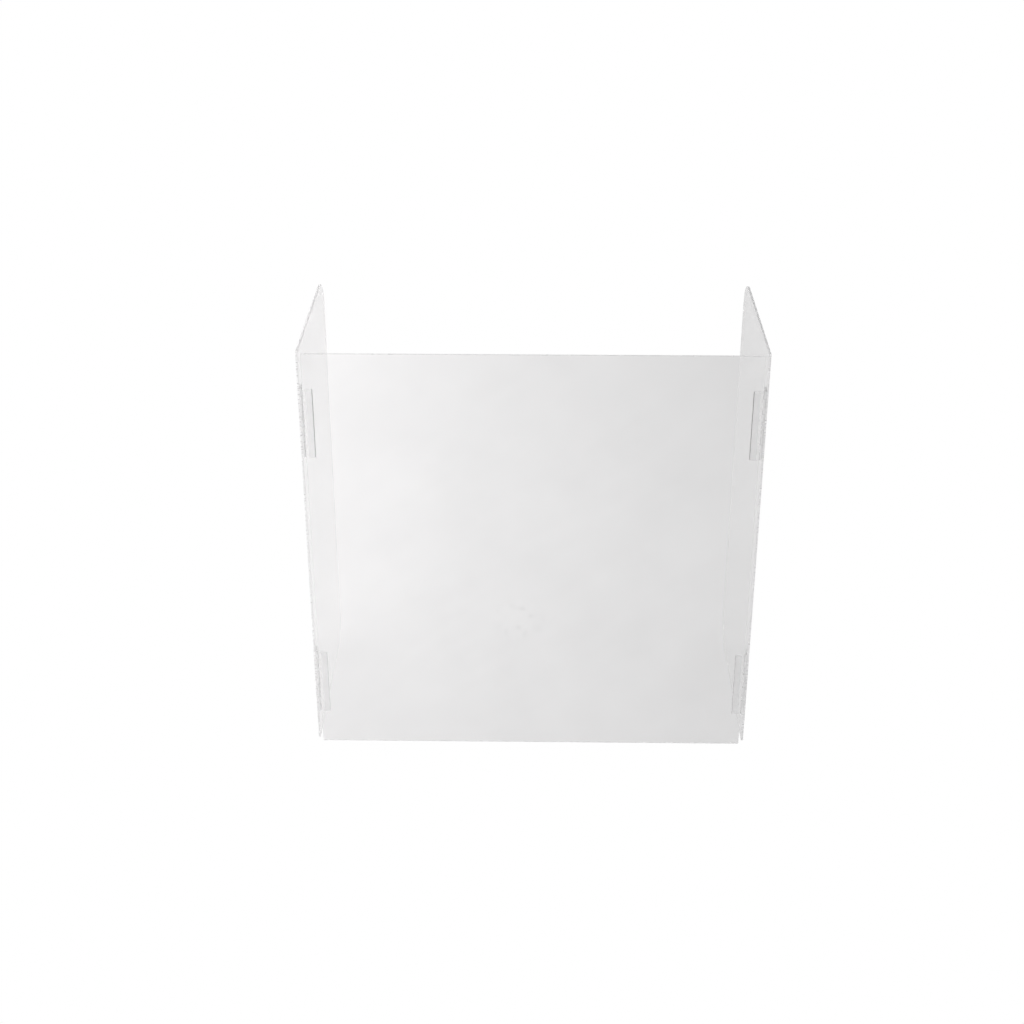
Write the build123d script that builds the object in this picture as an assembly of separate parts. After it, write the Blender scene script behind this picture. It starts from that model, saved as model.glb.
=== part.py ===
from build123d import *
import os

# A free-standing desk privacy panel: a square clear front sheet, with a clear side sheet
# folded back from each of its upright edges on an upper and a lower clear plastic hinge.
# Millimetres, +Z up. The origin is the middle of the footprint, on the desk.
# The front panel's outer face looks towards -Y and the side panels reach back to +Y.

# Sheets
SHEET_T = 3.0
FRONT_W = 610.0
PANEL_H = 610.0
SIDE_LEN = 297.0
REAR_CORNER_R = 40.0
SMALL_CORNER_R = 2.0
EDGE_EASE = 0.25

# Hinges
HINGE_LEN = 100.0
HINGE_INSET = 51.0
KNUCKLES = 9
KNUCKLE_GAP = 0.3
BARREL_R = 2.1
BARREL_CLEARANCE = 0.35
PIN_R = 1.0
RUNNING_FIT = 0.05
LEAF_T = 1.5
LEAF_REACH = 15.5
LEAF_CORNER_R = 1.5
LEAF_BEVEL_IN = 1.2
LEAF_BEVEL_DOWN = 0.6

# Clear double-sided strips that bond the leaves to the sheets
BOND_T = 0.3
BOND_W = 8.5
BOND_MARGIN = 0.8

# Distances from a pin's axis
AXIS_TO_LEAF = 0.2
AXIS_TO_BOND = AXIS_TO_LEAF + LEAF_T
AXIS_TO_SHEET = AXIS_TO_BOND + BOND_T
AXIS_TO_SHEET_EDGE = 2.6

# Worked out from the sizes above
DEPTH = SHEET_T + AXIS_TO_SHEET + AXIS_TO_SHEET_EDGE + SIDE_LEN
FRONT_FACE_Y = -DEPTH / 2
AXIS_X = FRONT_W / 2 + AXIS_TO_SHEET_EDGE
AXIS_Y = FRONT_FACE_Y + SHEET_T + AXIS_TO_SHEET
KNUCKLE_PITCH = HINGE_LEN / KNUCKLES
LEAF_ROOT = BARREL_R + BARREL_CLEARANCE

# Left and right as seen from in front
SIDES = {"left": -1, "right": 1}
HINGE_BASE_Z = {"upper": PANEL_H - HINGE_INSET - HINGE_LEN, "lower": HINGE_INSET}


def block(xs, ys, zs):
    """A box between two limits along each axis, given in either order."""
    spans = [sorted(pair) for pair in (xs, ys, zs)]
    centre = [(low + high) / 2 for low, high in spans]
    size = [high - low for low, high in spans]
    return Pos(*centre) * Box(*size)


def eased(sheet, normal):
    """Takes the sharp arrises off both faces of a sheet that lies square to an axis."""
    faces = sheet.faces().sort_by(normal)
    return chamfer(faces[0].edges() + faces[-1].edges(), EDGE_EASE)


def front_panel():
    sheet = block((-FRONT_W / 2, FRONT_W / 2), (FRONT_FACE_Y, FRONT_FACE_Y + SHEET_T), (0, PANEL_H))
    sheet = fillet(sheet.edges().filter_by(Axis.Y), SMALL_CORNER_R)
    return eased(sheet, Axis.Y)


def side_panel(side):
    """The two rear corners have a large radius and the two front corners are nearly square."""
    inner = AXIS_X + AXIS_TO_SHEET
    start = AXIS_Y + AXIS_TO_SHEET_EDGE
    sheet = block((side * inner, side * (inner + SHEET_T)), (start, start + SIDE_LEN), (0, PANEL_H))
    sheet = fillet(sheet.edges().filter_by(Axis.X).sort_by(Axis.Y)[-2:], REAR_CORNER_R)
    sheet = fillet(sheet.edges().filter_by(Axis.X).sort_by(Axis.Y)[:2], SMALL_CORNER_R)
    return eased(sheet, Axis.X)


# A leaf and its strip are made on the hinge's own axes: the pin stands on Z, the leaf reaches
# out along +X, and the sheet that the leaf is bonded to lies towards -Y.


def leaf_plate():
    """The flat of a leaf, with rounded free corners and a shallow bevel down to its free edge."""
    plate = block((LEAF_ROOT, LEAF_REACH), (-AXIS_TO_LEAF, -AXIS_TO_BOND), (0, HINGE_LEN))
    plate = fillet(plate.edges().filter_by(Axis.Y).sort_by(Axis.X)[-2:], LEAF_CORNER_R)
    inner_face = plate.faces().sort_by(Axis.Y)[-1]
    free_edge = plate.faces().sort_by(Axis.X)[-1].edges().sort_by(Axis.Y)[-1]
    return chamfer(free_edge, LEAF_BEVEL_IN, LEAF_BEVEL_DOWN, reference=inner_face)


def knuckle(low, high):
    """A length of barrel with the web that joins it to its leaf."""
    barrel = Pos(0, 0, (low + high) / 2) * Cylinder(BARREL_R, high - low)
    return barrel + block((0, LEAF_ROOT), (-AXIS_TO_LEAF, -AXIS_TO_BOND), (low, high))


def hinge_leaf(first_knuckle, bore_r):
    """A leaf with every other knuckle, which stop short of their neighbours on the other leaf."""
    leaf = leaf_plate()
    for number in range(first_knuckle, KNUCKLES, 2):
        low = number * KNUCKLE_PITCH
        high = low + KNUCKLE_PITCH
        if number > 0:
            low += KNUCKLE_GAP / 2
        if number < KNUCKLES - 1:
            high -= KNUCKLE_GAP / 2
        leaf += knuckle(low, high)
    return leaf - Pos(0, 0, HINGE_LEN / 2) * Cylinder(bore_r, HINGE_LEN)


def bonding_strip():
    """Lies under the outer part of a leaf."""
    outer = LEAF_REACH - BOND_MARGIN
    ends = (BOND_MARGIN, HINGE_LEN - BOND_MARGIN)
    return block((outer - BOND_W, outer), (-AXIS_TO_BOND, -AXIS_TO_SHEET), ends)


def placed(shape, side, sheet, base_z):
    """Moves a leaf or strip from the hinge's own axes to its sheet, at one of the four hinges."""
    turned = shape if sheet == "front" else Rot(0, 0, 90) * shape
    if (sheet == "front") == (side > 0):
        turned = mirror(turned, about=Plane.YZ)
    return Pos(side * AXIS_X, AXIS_Y, base_z) * turned


def write(name, shape):
    shape.label = name
    export_step(shape, f"parts/{name}.step")


os.makedirs("parts", exist_ok=True)
write("front_panel", front_panel())
for side_name, side in SIDES.items():
    write(f"{side_name}_side_panel", side_panel(side))

# The front leaf holds the pin and the side leaf turns on it.
leaves = {
    "front": hinge_leaf(first_knuckle=0, bore_r=PIN_R),
    "side": hinge_leaf(first_knuckle=1, bore_r=PIN_R + RUNNING_FIT),
}
strip = bonding_strip()
for level, base_z in HINGE_BASE_Z.items():
    for side_name, side in SIDES.items():
        hinge = f"{level}_{side_name}_hinge"
        pin = Pos(side * AXIS_X, AXIS_Y, base_z + HINGE_LEN / 2) * Cylinder(PIN_R, HINGE_LEN)
        write(f"{hinge}_pin", pin)
        for sheet, leaf in leaves.items():
            write(f"{hinge}_{sheet}_leaf", placed(leaf, side, sheet, base_z))
            write(f"{hinge}_{sheet}_bonding_strip", placed(strip, side, sheet, base_z))
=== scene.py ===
import math

import bmesh
import bpy
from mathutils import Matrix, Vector


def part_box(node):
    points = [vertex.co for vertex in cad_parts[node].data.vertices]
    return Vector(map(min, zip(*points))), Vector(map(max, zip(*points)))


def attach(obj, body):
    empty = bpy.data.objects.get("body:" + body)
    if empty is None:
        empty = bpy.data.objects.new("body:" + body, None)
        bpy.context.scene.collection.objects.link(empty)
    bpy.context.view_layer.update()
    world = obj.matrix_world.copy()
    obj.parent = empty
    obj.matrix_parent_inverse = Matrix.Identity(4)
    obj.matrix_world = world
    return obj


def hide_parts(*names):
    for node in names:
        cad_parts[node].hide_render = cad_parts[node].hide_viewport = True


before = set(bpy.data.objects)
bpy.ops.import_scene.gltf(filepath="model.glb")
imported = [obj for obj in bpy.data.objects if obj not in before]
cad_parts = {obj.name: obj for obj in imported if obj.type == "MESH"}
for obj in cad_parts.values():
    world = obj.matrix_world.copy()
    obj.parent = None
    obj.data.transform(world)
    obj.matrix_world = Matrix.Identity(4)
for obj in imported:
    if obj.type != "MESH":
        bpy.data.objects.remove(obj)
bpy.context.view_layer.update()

# A clear desk privacy panel: three clear sheets joined by four clear plastic hinges.
# Everything is in metres, in the part's own frame: +Z up, the front panel's face towards -Y.

MM = 0.001

# Sheets
REAR_CORNER_R = 40 * MM
SMALL_CORNER_R = 2 * MM
CORNER_STEPS = 24
ARRIS_R = 0.3 * MM
ARRIS_STEPS = 4

# Hinges, on their own axes: the pin stands on Z, the leaf reaches out along +X, and its sheet
# lies towards -Y. The part of a rim that looks along +X by at least FREE_EDGE_FACING is free edge.
HINGE_LEN = 100 * MM
KNUCKLES = 9
KNUCKLE_GAP = 0.3 * MM
BARREL_R = 2.1 * MM
BORE_R = 1.02 * MM
PIN_R = 1.0 * MM
PIN_END = 0.25 * MM
LEAF_ROOT = 2.45 * MM
LEAF_REACH = 15.5 * MM
LEAF_INNER = -0.2 * MM
LEAF_OUTER = -1.7 * MM
LEAF_CORNER_R = 1.5 * MM
LEAF_CORNER_STEPS = 10
LEAF_BEVEL_IN = 1.2 * MM
LEAF_BEVEL_DOWN = 0.6 * MM
LEAF_ARRIS = 0.12 * MM
FREE_EDGE_FACING = 0.3
WEB_STEPS = 8
ROUND_STEPS = 72
SHARP_ANGLE = math.radians(24)
LARGEST_SMOOTH = 20 * MM * MM

# Bonding strips
STRIP_GAP = 0.02 * MM
STRIP_CORNER_R = 0.5 * MM
STRIP_CORNER_STEPS = 4
STRIP_ARRIS = 0.04 * MM
STRIP_ARRIS_STEPS = 1

# A leaf's material slots, after 0 for its flats
END = 1
BARREL = 2
FREE_EDGE = 3

# Clear plastics. Scales are in waves to the metre, and tones are the share of light let through.
ACRYLIC_IOR = 1.49
SHADOW_TINT = 0.95

# Where most of a noise's values lie, and most of the sums of two
ONE_NOISE = (0.3, 0.7)
TWO_NOISES = (0.75, 1.25)

# Sheet faces. A pair named PARTS is the span of a noise that the marks come up over.
HAZE_SCALE = 9.0
HAZE_TONES = (0.962, 0.998)
HAZE_ROUGH_PARTS = (0.35, 0.75)
HAZE_ROUGHNESS = (0.0, 0.02)
WIPE_ANGLE = math.radians(35)
WIPE_SCALE = 60.0
WIPE_SLIMNESS = 0.12
WIPE_TONES = (0.99, 1.0)
FINGER_MARKS_AT = (-0.02, -0.152, 0.21)
FINGER_MARKS_FADE = (20 * MM, 50 * MM)
FINGER_DAB_SCALE = 110.0
FINGER_DAB_PARTS = (0.56, 0.66)
FINGER_DAB_DARKER = 0.035
FINGER_DAB_ROUGHER = 0.05
SCRATCH_ANGLES_AND_SCALES = ((0.5, 2200.0), (-0.9, 1700.0))
SCRATCH_SLIMNESS = 0.02
SCRATCH_PARTS = (0.66, 0.74)
SCRATCH_ROUGHER = 0.05
SCRATCH_BUMP = 0.06
SCRATCH_DEPTH = 0.02 * MM

# Cut edges. A side sheet's has painted light, paler where it faces along Y, and a leaf's free edge
# has painted shade, dark towards the top and paler lower down.
EDGE_CLEARNESS = 0.5
EDGE_ROUGHNESS = (0.24, 0.36)
EDGE_TONE_SPREAD = 0.05
# Spans over which a side edge's painted light comes up with facing along Y, and the heights over
# which a free edge's painted shade comes up
PAINTED_LIGHT_FACING_Y = (0.3, 0.95)
PAINTED_SHADE_LOW_TO_HIGH = (0.15, 0.55)
GROUND_SCALE = 45.0
TOOTH_SCALE = 1100.0
TOOTH_STRETCH = 0.1
TOOTH_BUMP = 0.1
TOOTH_DEPTH = 0.04 * MM
FRONT_EDGE_TONE = 0.94
SIDE_EDGE_TONE = 0.86
# Painted light on a side sheet's cut edge where it faces along Y
SIDE_EDGE_PAINTED_LIGHT = 0.09
# Painted shade on a leaf's free edge: a dark tone, eased paler lower down.
FREE_EDGE_PAINTED_SHADE_TONE = 0.15
FREE_EDGE_PAINTED_SHADE_EASED_LOW = 0.65
LEAF_END_TONE = 0.95

# Hinge plastic: clearness, tone and roughness
LEAF_LOOK = (1.0, 1.0, 0.06)
BARREL_LOOK = (0.55, 0.92, 0.35)
DRAWN_SCALE = 1600.0
DRAWN_STRETCH = 0.015
DRAWN_BUMP = 0.04
DRAWN_DEPTH = 0.02 * MM
UNEVEN_SCALE = 140.0
HINGE_TONE_SPREAD = 0.02
HINGE_ROUGHNESS_SPREAD = (0.8, 1.2)

# Bonding film
FILM_IOR = 1.2
FILM_CLEARNESS = 0.95
FILM_SCALE = 260.0
FILM_TONES = (0.965, 0.985)
FILM_ROUGHNESS = (0.28, 0.36)
FILM_BUMP = 0.01
FILM_DEPTH = 0.02 * MM

# Stage. Each lamp has a place, a point that it faces, a width and height, and a power in watts.
WHITE = (1, 1, 1, 1)
FLOOR_WHITE = 0.95
FLOOR_HALF = 30.0
FLOOR_DROP = 0.2 * MM
STUDIO_LEFT = 0.66
STUDIO_RIGHT = 0.57
STUDIO_HORIZON = 0.585
STUDIO_SIDES = (-0.7, 0.7)
STUDIO_RISE = (0, 0.3)
LAMP_COLOUR = (1.0, 0.975, 0.982)
LAMPS = {
    "key": ((-1.05, 1.0, 1.1), (-1.05, 1.0, 0), (1.0, 5.2), 21.3),
    "fill": ((-0.4, -3.2, 1.7), (0, 0, 0.3), (2.0, 1.2), 13),
}

# Light that enters a sheet's edge runs the whole way down inside it
LONGEST_PATH = 200
CLEAR_LAYERS = 32

# Camera, from the photograph's perspective
CAMERA_AT = (0.0033, -2.2245, 1.4388)
CAMERA_DOWN = math.radians(27.07)
CAMERA_LEFT = math.radians(0.845)
CAMERA_LENS = 59.75
CAMERA_SEES = 100


# Shader tools


def new_material(name):
    material = bpy.data.materials.new(name)
    material.use_nodes = True
    tree = material.node_tree
    tree.nodes.clear()
    return material, tree


def node(tree, kind, **inputs):
    made = tree.nodes.new(kind)
    for name, value in inputs.items():
        made.inputs[name.replace("_", " ")].default_value = value
    return made


def coordinates(tree, kind):
    return node(tree, "ShaderNodeTexCoord").outputs[kind]


def split(tree, vector):
    """A vector's X, Y and Z."""
    made = node(tree, "ShaderNodeSeparateXYZ")
    tree.links.new(vector, made.inputs[0])
    return made.outputs


def noise(tree, place, scale, detail=3.0, roughness=0.5, stretch=(1, 1, 1)):
    mapping = node(tree, "ShaderNodeMapping", Scale=stretch)
    tree.links.new(place, mapping.inputs["Vector"])
    made = node(tree, "ShaderNodeTexNoise", Scale=scale, Detail=detail, Roughness=roughness)
    tree.links.new(mapping.outputs["Vector"], made.inputs["Vector"])
    return made.outputs["Fac"]


def streaks(tree, place, along, angle, scale, slimness):
    """A noise drawn out one way in the plane of a sheet that runs along X (0) or Y (1)."""
    turn = [0, 0, 0]
    turn[1 - along] = angle
    stretch = [1, 1, 1]
    stretch[along] = slimness
    mapping = node(tree, "ShaderNodeMapping", Rotation=turn)
    tree.links.new(place, mapping.inputs["Vector"])
    return noise(tree, mapping.outputs["Vector"], scale, detail=2.0, stretch=stretch)


def remap(tree, value, span, new_span):
    """Takes one span of values to another and stops at the new one's ends."""
    made = node(
        tree,
        "ShaderNodeMapRange",
        From_Min=span[0],
        From_Max=span[1],
        To_Min=new_span[0],
        To_Max=new_span[1],
    )
    tree.links.new(value, made.inputs["Value"])
    return made.outputs["Result"]


def combined(tree, operation, *values):
    """Values and numbers put together."""
    made = node(tree, "ShaderNodeMath")
    made.operation = operation
    for socket, value in zip(made.inputs, values):
        if isinstance(value, (int, float)):
            socket.default_value = value
        else:
            tree.links.new(value, socket)
    return made.outputs[0]


def bump(tree, height, strength, distance):
    made = node(tree, "ShaderNodeBump", Strength=strength, Distance=distance)
    tree.links.new(height, made.inputs["Height"])
    return made.outputs["Normal"]


def by_ray(tree, kind, shader, instead):
    """Swaps a shader for another as seen by one kind of ray."""
    mix = node(tree, "ShaderNodeMixShader")
    tree.links.new(node(tree, "ShaderNodeLightPath").outputs[kind], mix.inputs[0])
    tree.links.new(shader, mix.inputs[1])
    tree.links.new(instead, mix.inputs[2])
    return mix.outputs[0]


def surface(tree, shader, kind="ShaderNodeOutputMaterial"):
    tree.links.new(shader, node(tree, kind).inputs["Surface"])


# Materials


def clear_plastic(tree, clearness, tone, roughness, normal, ior=ACRYLIC_IOR):
    """Clear plastic that lets lamps and bounced light straight through, for a soft shadow."""
    glass = node(tree, "ShaderNodeBsdfPrincipled", Transmission_Weight=clearness, IOR=ior)
    tree.links.new(tone, glass.inputs["Base Color"])
    tree.links.new(roughness, glass.inputs["Roughness"])
    tree.links.new(normal, glass.inputs["Normal"])
    tint = (SHADOW_TINT, SHADOW_TINT, SHADOW_TINT, 1)
    straight = node(tree, "ShaderNodeBsdfTransparent", Color=tint).outputs[0]
    shader = by_ray(tree, "Is Diffuse Ray", glass.outputs[0], straight)
    surface(tree, by_ray(tree, "Is Shadow Ray", shader, straight))


def scratches(tree, place, along, angle, scale):
    """Hair-thin marks, few and far between."""
    lines = streaks(tree, place, along, angle, scale, SCRATCH_SLIMNESS)
    return remap(tree, lines, SCRATCH_PARTS, (0, 1))


def finger_marks(tree, place):
    """Dabs that fade out from one spot on the front panel."""
    away = node(tree, "ShaderNodeVectorMath")
    away.operation = "DISTANCE"
    tree.links.new(place, away.inputs[0])
    away.inputs[1].default_value = FINGER_MARKS_AT
    near = remap(tree, away.outputs["Value"], FINGER_MARKS_FADE, (1, 0))
    dabs = remap(tree, noise(tree, place, FINGER_DAB_SCALE, detail=2.0), FINGER_DAB_PARTS, (0, 1))
    return combined(tree, "MULTIPLY", near, dabs)


def clear_sheet_material(name, along):
    """Polished faces with cloth-wiped haze, a few finger marks and hair scratches."""
    material, tree = new_material(name)
    place = coordinates(tree, "Object")
    haze = noise(tree, place, HAZE_SCALE, detail=5.0, roughness=0.55)
    wipes = streaks(tree, place, along, WIPE_ANGLE, WIPE_SCALE, WIPE_SLIMNESS)
    marks = finger_marks(tree, place)
    sets = [scratches(tree, place, along, *one_way) for one_way in SCRATCH_ANGLES_AND_SCALES]
    fine = combined(tree, "MAXIMUM", *sets)
    tone = remap(tree, haze, ONE_NOISE, HAZE_TONES)
    tone = combined(tree, "MULTIPLY", tone, remap(tree, wipes, ONE_NOISE, WIPE_TONES))
    tone = combined(tree, "SUBTRACT", tone, combined(tree, "MULTIPLY", marks, FINGER_DAB_DARKER))
    rough = remap(tree, haze, HAZE_ROUGH_PARTS, HAZE_ROUGHNESS)
    rough = combined(tree, "ADD", rough, combined(tree, "MULTIPLY", fine, SCRATCH_ROUGHER))
    rough = combined(tree, "ADD", rough, combined(tree, "MULTIPLY", marks, FINGER_DAB_ROUGHER))
    clear_plastic(tree, 1.0, tone, rough, bump(tree, fine, SCRATCH_BUMP, SCRATCH_DEPTH))
    return material


def cut_edge_material(name, stretch, cut_tone, painted_light_facing_y=0.0, painted_shade_eased_low_down=0.0):
    """A satin saw-cut edge with fine tooth marks across its thickness, with optional painted light
    where it faces along Y and painted shade that darkens it towards the top.
    """
    material, tree = new_material(name)
    place = coordinates(tree, "Object")
    teeth = noise(tree, place, TOOTH_SCALE, detail=2.0, stretch=stretch)
    ground = noise(tree, place, GROUND_SCALE)
    tones = (cut_tone - EDGE_TONE_SPREAD, cut_tone + EDGE_TONE_SPREAD)
    tone = remap(tree, combined(tree, "ADD", teeth, ground), TWO_NOISES, tones)
    # Painted light: paler where the edge faces along Y.
    facing = combined(tree, "ABSOLUTE", split(tree, coordinates(tree, "Normal"))["Y"])
    tone = combined(tree, "ADD", tone, remap(tree, facing, PAINTED_LIGHT_FACING_Y, (0, painted_light_facing_y)))
    # Painted shade: darker towards the top, eased by the given amount low down.
    height = split(tree, place)["Z"]
    tone = combined(tree, "ADD", tone, remap(tree, height, PAINTED_SHADE_LOW_TO_HIGH, (painted_shade_eased_low_down, 0)))
    rough = remap(tree, teeth, ONE_NOISE, EDGE_ROUGHNESS)
    clear_plastic(tree, EDGE_CLEARNESS, tone, rough, bump(tree, teeth, TOOTH_BUMP, TOOTH_DEPTH))
    return material


def hinge_material(name, clearness, tone, roughness):
    """Drawn clear plastic: faint lines along the hinge and a little unevenness."""
    material, tree = new_material(name)
    place = coordinates(tree, "Object")
    drawn = noise(tree, place, DRAWN_SCALE, detail=2.0, stretch=(1, 1, DRAWN_STRETCH))
    uneven = noise(tree, place, UNEVEN_SCALE)
    tones = (tone - HINGE_TONE_SPREAD, tone)
    shade = remap(tree, combined(tree, "ADD", drawn, uneven), TWO_NOISES, tones)
    rough = remap(tree, uneven, ONE_NOISE, [roughness * share for share in HINGE_ROUGHNESS_SPREAD])
    clear_plastic(tree, clearness, shade, rough, bump(tree, drawn, DRAWN_BUMP, DRAWN_DEPTH))
    return material


def film_material():
    """Double-sided film with a soft haze."""
    material, tree = new_material("clear_bonding_film")
    haze = noise(tree, coordinates(tree, "Object"), FILM_SCALE)
    tone = remap(tree, haze, ONE_NOISE, FILM_TONES)
    rough = remap(tree, haze, ONE_NOISE, FILM_ROUGHNESS)
    normal = bump(tree, haze, FILM_BUMP, FILM_DEPTH)
    clear_plastic(tree, FILM_CLEARNESS, tone, rough, normal, ior=FILM_IOR)
    return material


# Mesh tools


def add_piece(mesh, materials, body, node_name):
    """Makes a mesh into a piece that stands for one CAD node and rides on its body."""
    bmesh.ops.recalc_face_normals(mesh, faces=mesh.faces)
    name = "clear_" + node_name
    data = bpy.data.meshes.new(name)
    mesh.to_mesh(data)
    mesh.free()
    for material in materials:
        data.materials.append(material)
    piece = bpy.data.objects.new(name, data)
    bpy.context.scene.collection.objects.link(piece)
    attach(piece, body)
    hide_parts(node_name)


def rounded_outline(width, height, radii, steps):
    """Points and outward directions round a rectangle from its lower left corner, anticlockwise."""
    centres = ((0, 0, 180), (width, 0, 270), (width, height, 0), (0, height, 90))
    inward = ((1, 1), (-1, 1), (-1, -1), (1, -1))
    points = []
    for (x, y, start), (sx, sy), radius in zip(centres, inward, radii):
        for step in range(steps + 1):
            angle = math.radians(start + 90 * step / steps)
            out = (math.cos(angle), math.sin(angle))
            spot = (x + radius * (sx + out[0]), y + radius * (sy + out[1]))
            points.append((spot, out))
    return points


def arris(radius, steps):
    """Inset and depth of each ring round an eased arris."""
    turns = [math.pi / 2 * step / steps for step in range(steps + 1)]
    return [(radius * (1 - math.sin(turn)), radius * (1 - math.cos(turn))) for turn in turns]


def add_loops(mesh, loops):
    """Joins rings of the same length into one closed skin. Returns the faces between the rings."""
    rings = [[mesh.verts.new(spot) for spot in loop] for loop in loops]
    count = len(rings[0])
    sides = []
    for lower, upper in zip(rings, rings[1:]):
        for i in range(count):
            j = (i + 1) % count
            sides.append(mesh.faces.new((lower[i], lower[j], upper[j], upper[i])))
    mesh.faces.new(rings[0][::-1])
    mesh.faces.new(rings[-1])
    return sides


def shade_by_angle(mesh):
    """Smooth all over but for the flats and the edges between them."""
    bmesh.ops.recalc_face_normals(mesh, faces=mesh.faces)
    for face in mesh.faces:
        face.smooth = len(face.verts) == 4 and face.calc_area() < LARGEST_SMOOTH
    for edge in mesh.edges:
        edge.smooth = edge.calc_face_angle(0) < SHARP_ANGLE


# Sheets and bonding strips


def add_sheet(node_name, body, along, gap, outline_of, rim, materials):
    """A flat piece that runs along X (0) or Y (1). Its rim has the last of its materials.

    gap is left clear over each face, outline_of is the radii and steps of its corners, and rim
    is the inset and depth of each ring round its arris.
    """
    low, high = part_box(node_name)
    across = 1 - along
    low[across] += gap
    high[across] -= gap
    size = high - low

    def place(u, v, w):
        spot = Vector(low)
        spot[along] += u
        spot[2] += v
        spot[across] += w
        return spot

    outline = rounded_outline(size[along], size[2], *outline_of)
    profile = rim + [(inset, size[across] - depth) for inset, depth in reversed(rim)]
    mesh = bmesh.new()
    loops = [
        [place(x - inset * nx, y - inset * ny, depth) for (x, y), (nx, ny) in outline]
        for inset, depth in profile
    ]
    for face in add_loops(mesh, loops):
        face.material_index = len(materials) - 1
        face.smooth = True
    add_piece(mesh, materials, body, node_name)


# Hinges


def hinge_place(side, sheet, axis, base_z):
    """Turns a point on a hinge's own axes into one in the part's frame."""

    def place(u, v, w):
        x, y = (u, v) if sheet == "front" else (-v, u)
        if (sheet == "front") == (side > 0):
            x = -x
        return Vector((axis[0] + x, axis[1] + y, base_z + w))

    return place


def knuckle_spans(first):
    pitch = HINGE_LEN / KNUCKLES
    spans = []
    for number in range(first, KNUCKLES, 2):
        low = number * pitch + (KNUCKLE_GAP / 2 if number > 0 else 0)
        high = (number + 1) * pitch - (KNUCKLE_GAP / 2 if number < KNUCKLES - 1 else 0)
        spans.append((low, high))
    return spans


def leaf_rim(out):
    """Inset and height of each level of a leaf's rim: eased, with a bevel along the free edge."""
    free = max(out[0], 0) ** 2
    bevel_in = LEAF_ARRIS + (LEAF_BEVEL_IN - LEAF_ARRIS) * free
    bevel_down = LEAF_ARRIS + (LEAF_BEVEL_DOWN - LEAF_ARRIS) * free
    return (
        (LEAF_ARRIS, LEAF_OUTER),
        (0, LEAF_OUTER + LEAF_ARRIS),
        (0, LEAF_INNER - bevel_down),
        (bevel_in, LEAF_INNER),
    )


def add_leaf_plate(mesh, place, breaks):
    """The flat of a leaf, open along its root. Returns the root's vertices by height."""
    radii = (0, LEAF_CORNER_R, LEAF_CORNER_R, 0)
    rim = rounded_outline(LEAF_REACH - LEAF_ROOT, HINGE_LEN, radii, LEAF_CORNER_STEPS)
    corner = LEAF_CORNER_STEPS + 1
    rim = rim[corner : 3 * corner]
    falling = breaks[::-1]
    outer = {z: mesh.verts.new(place(LEAF_ROOT, LEAF_OUTER, z)) for z in falling}
    inner = {z: mesh.verts.new(place(LEAF_ROOT, LEAF_INNER, z)) for z in falling}
    rings = []
    for level, root in enumerate((outer, outer, inner, inner)):
        ring = [root[z] for z in falling]
        for (x, z), out in rim:
            inset, height = leaf_rim(out)[level]
            spot = place(LEAF_ROOT + x - inset * out[0], height, z - inset * out[1])
            ring.append(mesh.verts.new(spot))
        rings.append(ring)
    count = len(rings[0])
    rim_start = len(falling)
    for level, (lower, upper) in enumerate(zip(rings, rings[1:])):
        for i in range(rim_start - 1, count):
            j = (i + 1) % count
            corners = dict.fromkeys((lower[i], lower[j], upper[j], upper[i]))
            face = mesh.faces.new(list(corners))
            facing = [rim[k - rim_start][1][0] for k in (i, j) if k >= rim_start]
            if level > 0 and len(facing) == 2 and min(facing) > FREE_EDGE_FACING:
                face.material_index = FREE_EDGE
            elif level == 1 and (j == 0 or i < rim_start):
                face.material_index = END
    mesh.faces.new(rings[0][::-1])
    mesh.faces.new(rings[-1])
    return outer, inner


def add_knuckle(mesh, place, low, high, outer, inner):
    """A length of barrel round its bore, and the web that joins it to the leaf's root."""
    start = math.asin(LEAF_OUTER / BARREL_R)
    web = math.asin(LEAF_INNER / BARREL_R) - start
    rest = 2 * math.pi - web
    angles = [start + web * step / WEB_STEPS for step in range(WEB_STEPS)]
    angles += [start + web + rest * step / ROUND_STEPS for step in range(ROUND_STEPS)]
    total = len(angles)
    rings = {}
    for z in (low, high):
        for radius in (BARREL_R, BORE_R):
            spots = [place(radius * math.cos(a), radius * math.sin(a), z) for a in angles]
            rings[z, radius] = [mesh.verts.new(spot) for spot in spots]
    for i in range(total):
        j = (i + 1) % total
        for radius in (BARREL_R, BORE_R):
            if radius == BORE_R or i >= WEB_STEPS:
                a, b = rings[low, radius], rings[high, radius]
                mesh.faces.new((a[i], a[j], b[j], b[i])).material_index = BARREL
        for z in (low, high):
            barrel, bore = rings[z, BARREL_R], rings[z, BORE_R]
            mesh.faces.new((barrel[i], barrel[j], bore[j], bore[i]))
    for z in (low, high):
        mesh.faces.new([outer[z], inner[z]] + rings[z, BARREL_R][WEB_STEPS::-1])
    for root, at in ((outer, 0), (inner, WEB_STEPS)):
        mesh.faces.new((root[low], root[high], rings[high, BARREL_R][at], rings[low, BARREL_R][at]))


def add_leaf(node_name, body, place, first_knuckle, materials):
    """One moulded leaf: a flat with a bevelled free edge, and every other knuckle."""
    spans = knuckle_spans(first_knuckle)
    breaks = sorted({0.0, HINGE_LEN} | {z for span in spans for z in span})
    mesh = bmesh.new()
    outer, inner = add_leaf_plate(mesh, place, breaks)
    for low, high in zip(breaks, breaks[1:]):
        if (low, high) in spans:
            add_knuckle(mesh, place, low, high, outer, inner)
        else:
            mesh.faces.new((outer[low], outer[high], inner[high], inner[low]))
    shade_by_angle(mesh)
    add_piece(mesh, materials, body, node_name)


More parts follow.
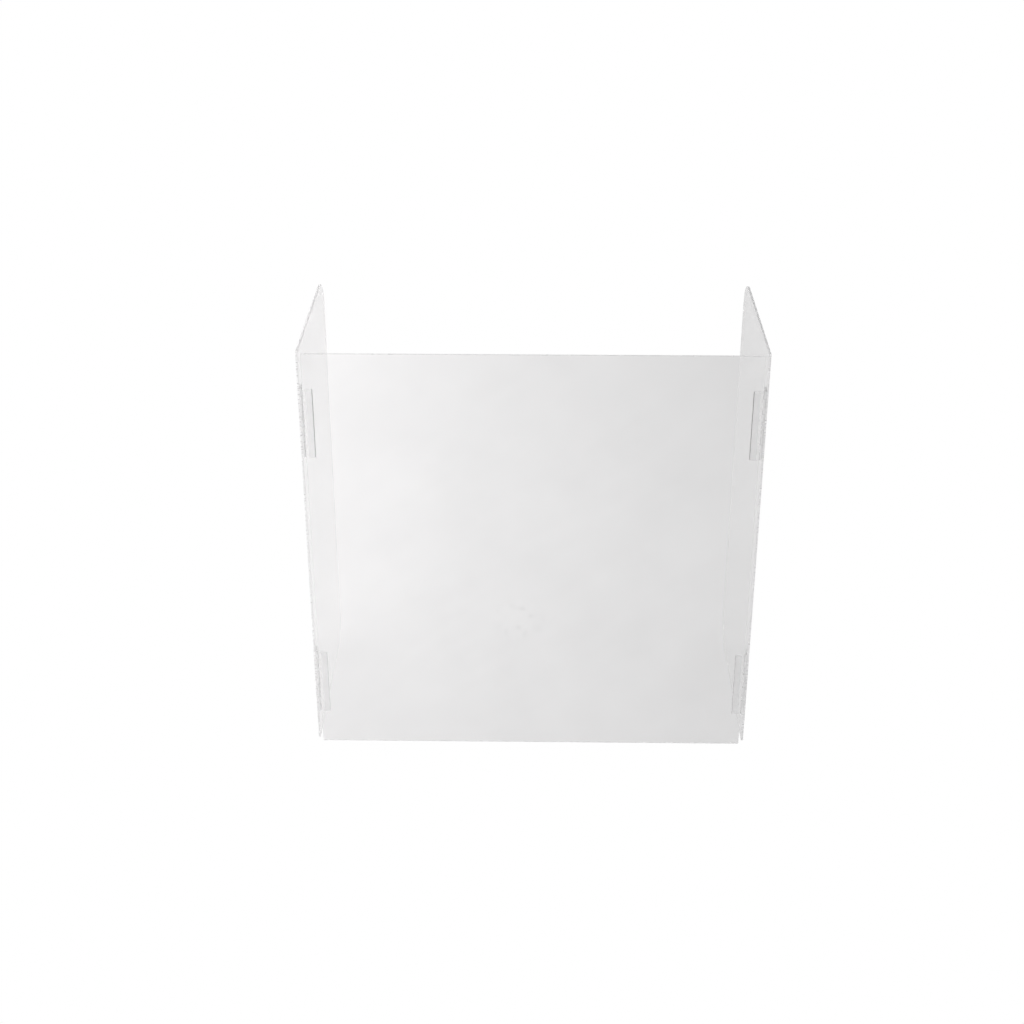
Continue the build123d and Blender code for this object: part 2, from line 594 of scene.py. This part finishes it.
def add_pin(node_name, body, axis, base_z, material):
    """A plain round pin with eased ends."""
    profile = [(PIN_R - PIN_END, 0.0), (PIN_R - PIN_END / 3, PIN_END / 3), (PIN_R, PIN_END)]
    profile += [(radius, HINGE_LEN - z) for radius, z in reversed(profile)]
    turns = [2 * math.pi * step / ROUND_STEPS for step in range(ROUND_STEPS)]
    mesh = bmesh.new()
    loops = [
        [
            (axis[0] + radius * math.cos(a), axis[1] + radius * math.sin(a), base_z + z)
            for a in turns
        ]
        for radius, z in profile
    ]
    for face in add_loops(mesh, loops):
        face.smooth = True
    add_piece(mesh, (material,), body, node_name)


# Stage


def stage_floor():
    """Plain white where the camera looks straight at it, and lit as seen through the part."""
    half = FLOOR_HALF
    data = bpy.data.meshes.new("floor")
    corners = [(-half, -half, 0), (half, -half, 0), (half, half, 0), (-half, half, 0)]
    data.from_pydata(corners, [], [(0, 1, 2, 3)])
    floor = bpy.data.objects.new("floor", data)
    bpy.context.scene.collection.objects.link(floor)
    floor.location.z = -FLOOR_DROP
    material, tree = new_material("floor")
    lit = node(tree, "ShaderNodeBsdfDiffuse", Color=(FLOOR_WHITE, FLOOR_WHITE, FLOOR_WHITE, 1))
    white = node(tree, "ShaderNodeEmission", Color=WHITE, Strength=1.0)
    surface(tree, by_ray(tree, "Is Camera Ray", lit.outputs[0], white.outputs[0]))
    data.materials.append(material)


def studio_world():
    """Plain white to the camera. Otherwise pale grey, brighter on the left, even at the horizon."""
    world = bpy.data.worlds.new("studio")
    bpy.context.scene.world = world
    world.use_nodes = True
    tree = world.node_tree
    tree.nodes.clear()
    towards = split(tree, coordinates(tree, "Generated"))
    sides = (STUDIO_LEFT - STUDIO_HORIZON, STUDIO_RIGHT - STUDIO_HORIZON)
    side = remap(tree, towards["X"], STUDIO_SIDES, sides)
    rise = remap(tree, towards["Z"], STUDIO_RISE, (0, 1))
    grey = node(tree, "ShaderNodeBackground", Strength=1.0)
    tone = combined(tree, "MULTIPLY_ADD", side, rise, STUDIO_HORIZON)
    tree.links.new(tone, grey.inputs["Color"])
    white = node(tree, "ShaderNodeBackground", Color=WHITE, Strength=1.0)
    seen = by_ray(tree, "Is Camera Ray", grey.outputs[0], white.outputs[0])
    surface(tree, seen, "ShaderNodeOutputWorld")


def area_light(name, at, towards, size, power):
    light = bpy.data.lights.new(name, "AREA")
    light.shape = "RECTANGLE"
    light.size, light.size_y = size
    light.energy = power
    light.color = LAMP_COLOUR
    lamp = bpy.data.objects.new(name, light)
    lamp.location = at
    lamp.rotation_euler = (Vector(towards) - Vector(at)).to_track_quat("-Z", "Y").to_euler()
    bpy.context.scene.collection.objects.link(lamp)


# Build the sheets
front_face = clear_sheet_material("clear_acrylic_face", 0)
side_face = clear_sheet_material("clear_acrylic_side_face", 1)
front_edge = cut_edge_material("clear_acrylic_cut_edge", (1, TOOTH_STRETCH, 1), FRONT_EDGE_TONE)
# The side sheets' cut edges get painted light where they face along Y.
side_edge_painted_light = cut_edge_material(
    "clear_acrylic_side_cut_edge_painted_light", (TOOTH_STRETCH, 1, 1), SIDE_EDGE_TONE, SIDE_EDGE_PAINTED_LIGHT
)
front_corners = ((SMALL_CORNER_R,) * 4, CORNER_STEPS)
side_corners = ((SMALL_CORNER_R, REAR_CORNER_R, REAR_CORNER_R, SMALL_CORNER_R), CORNER_STEPS)
sheet_rim = arris(ARRIS_R, ARRIS_STEPS)
for sheet, body, along, corners, materials in (
    ("front_panel", "front", 0, front_corners, (front_face, front_edge)),
    ("left_side_panel", "left_side", 1, side_corners, (side_face, side_edge_painted_light)),
    ("right_side_panel", "right_side", 1, side_corners, (side_face, side_edge_painted_light)),
):
    add_sheet(sheet, body, along, 0, corners, sheet_rim, materials)

# Build the hinges
leaf_plastic = hinge_material("clear_hinge_plastic", *LEAF_LOOK)
barrel_plastic = hinge_material("clear_hinge_barrel", *BARREL_LOOK)
pin_plastic = hinge_material("clear_hinge_pin", *BARREL_LOOK)
# The leaves' free edges get painted shade, darkest towards the top.
free_edge_painted_shade = cut_edge_material(
    "clear_hinge_free_edge_painted_shade",
    (TOOTH_STRETCH, TOOTH_STRETCH, 1),
    FREE_EDGE_PAINTED_SHADE_TONE,
    painted_shade_eased_low_down=FREE_EDGE_PAINTED_SHADE_EASED_LOW,
)
leaf_end = cut_edge_material("clear_hinge_end", (1, 1, 1), LEAF_END_TONE)
leaf_materials = (leaf_plastic, leaf_end, barrel_plastic, free_edge_painted_shade)
film = film_material()
film_corners = ((STRIP_CORNER_R,) * 4, STRIP_CORNER_STEPS)
film_rim = arris(STRIP_ARRIS, STRIP_ARRIS_STEPS)
for level in ("upper", "lower"):
    for side_name, side in (("left", -1), ("right", 1)):
        hinge = f"{level}_{side_name}_hinge"
        pin_low, pin_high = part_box(hinge + "_pin")
        axis = (pin_low + pin_high) / 2
        add_pin(hinge + "_pin", "front", axis, pin_low.z, pin_plastic)
        sheets = (("front", "front", 0, 0), ("side", side_name + "_side", 1, 1))
        for sheet, body, along, first_knuckle in sheets:
            leaf = f"{hinge}_{sheet}_leaf"
            bond = f"{hinge}_{sheet}_bonding_strip"
            place = hinge_place(side, sheet, axis, pin_low.z)
            add_leaf(leaf, body, place, first_knuckle, leaf_materials)
            add_sheet(bond, body, along, STRIP_GAP, film_corners, film_rim, (film,))

# Set the stage
stage_floor()
studio_world()
for name, settings in LAMPS.items():
    area_light(name, *settings)

scene = bpy.context.scene
scene.cycles.max_bounces = LONGEST_PATH
scene.cycles.glossy_bounces = LONGEST_PATH
scene.cycles.transmission_bounces = LONGEST_PATH
scene.cycles.transparent_max_bounces = CLEAR_LAYERS
scene.view_settings.view_transform = "Standard"

camera_data = bpy.data.cameras.new("camera")
camera_data.lens = CAMERA_LENS
camera_data.clip_end = CAMERA_SEES
camera = bpy.data.objects.new("camera", camera_data)
camera.location = CAMERA_AT
camera.rotation_euler = (math.pi / 2 - CAMERA_DOWN, 0, CAMERA_LEFT)
scene.collection.objects.link(camera)
scene.camera = camera
